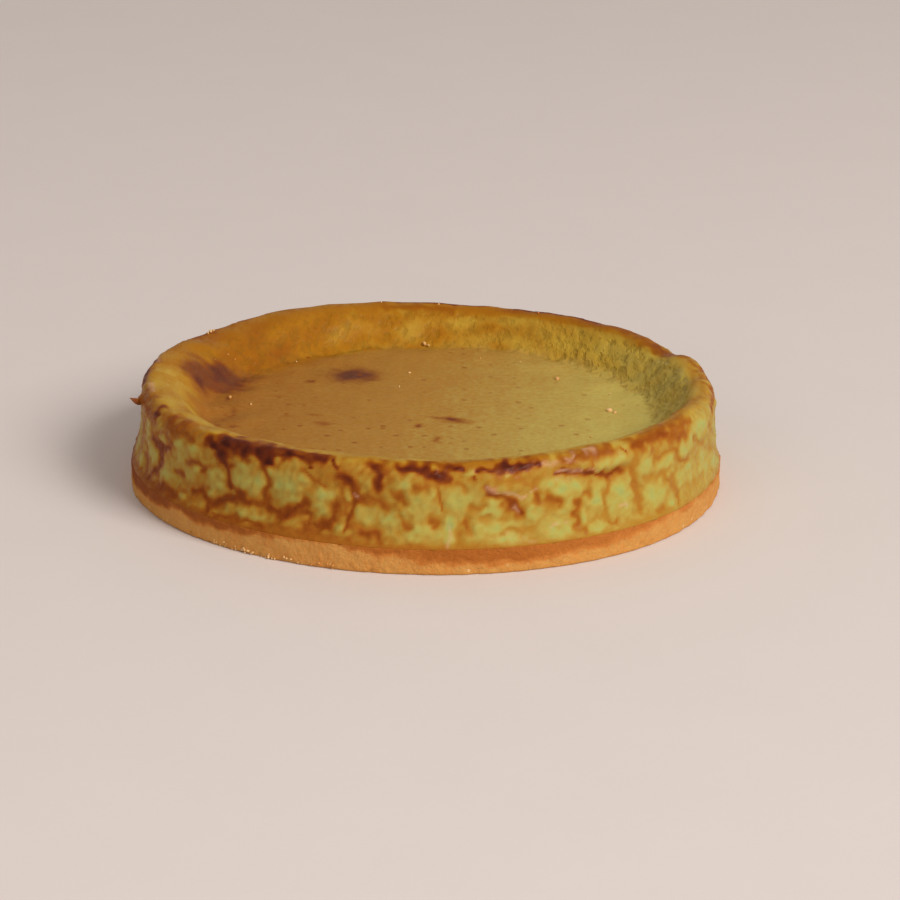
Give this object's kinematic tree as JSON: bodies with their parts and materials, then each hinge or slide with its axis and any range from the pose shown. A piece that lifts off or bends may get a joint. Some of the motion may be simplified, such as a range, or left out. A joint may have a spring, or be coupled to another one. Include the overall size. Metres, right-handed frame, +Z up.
{
  "type": "baked cheesecake",
  "caption": "Round baked cheesecake: a low disc of green custard with a raised uneven rim and a sunken browned top, on a pressed biscuit base.",
  "frame": {"origin": "centre of the underside of the biscuit base, on the surface the cake stands on", "axes": "+Z up along the cake's round axis; the pictured front faces -Y, and +X is to the picture's right"},
  "size_m": [0.2387, 0.2395, 0.0434],
  "materials": {
    "biscuit": "rough pressed biscuit crumb, browned at its upper edge",
    "custard": "soft satin baked custard skin, green with brown mottling"
  },
  "bodies": {
    "root": {"biscuit_base": "biscuit", "custard": "custard"}
  },
  "joints": []
}
